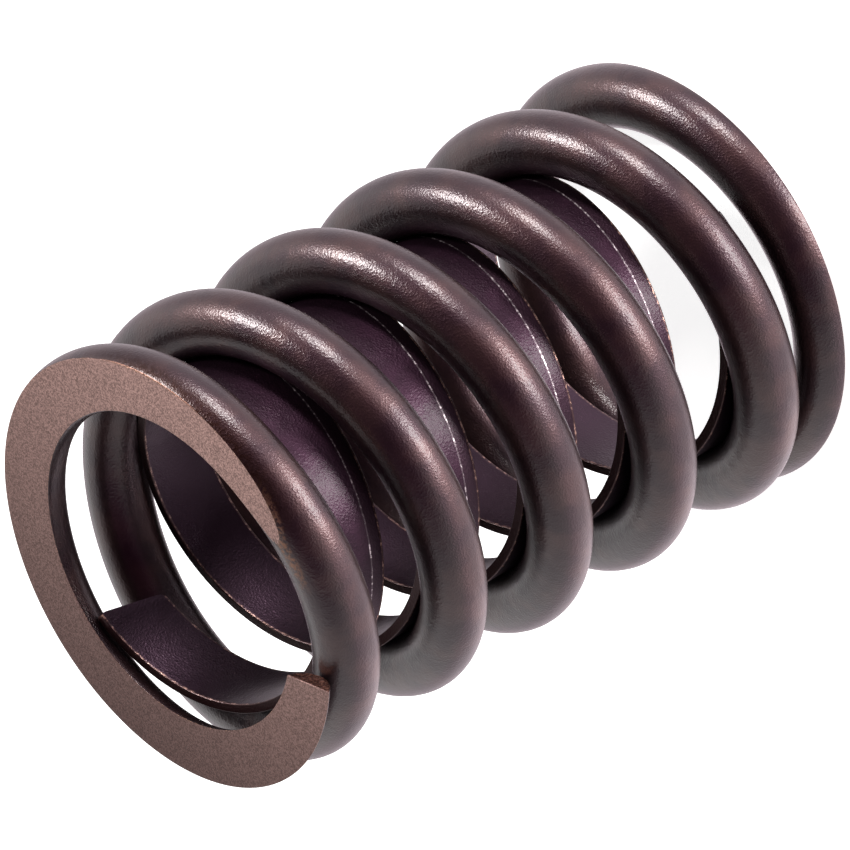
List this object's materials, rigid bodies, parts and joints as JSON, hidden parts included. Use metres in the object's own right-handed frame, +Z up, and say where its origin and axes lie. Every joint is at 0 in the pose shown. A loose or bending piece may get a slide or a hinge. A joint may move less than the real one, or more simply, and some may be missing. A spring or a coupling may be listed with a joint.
{
  "type": "valve spring",
  "caption": "Helical compression spring of round wire with closed ends ground flat, and a flat ribbon damper coiled the other way inside it. It closes an engine's poppet valve.",
  "frame": {"origin": "The middle of the lower ground end, on the plane that it stands on.", "axes": "+Z runs up the axis of the coils, from the lower end to the upper end that faces the retainer. +X and +Y have no meaning of their own: the upper wire tip lies at 219 degrees from +X."},
  "size_m": [0.037, 0.037, 0.0562],
  "materials": {
    "spring_wire": "Shot-peened alloy spring wire, dark brown-grey and satin. The two ends are ground flat and have a dull bronze-brown face.",
    "damper_ribbon": "Flat rolled spring strip, dark brown-grey and satin, with brighter edges."
  },
  "bodies": {
    "root": {"outer_spring": "spring_wire", "damper": "damper_ribbon"}
  },
  "joints": []
}
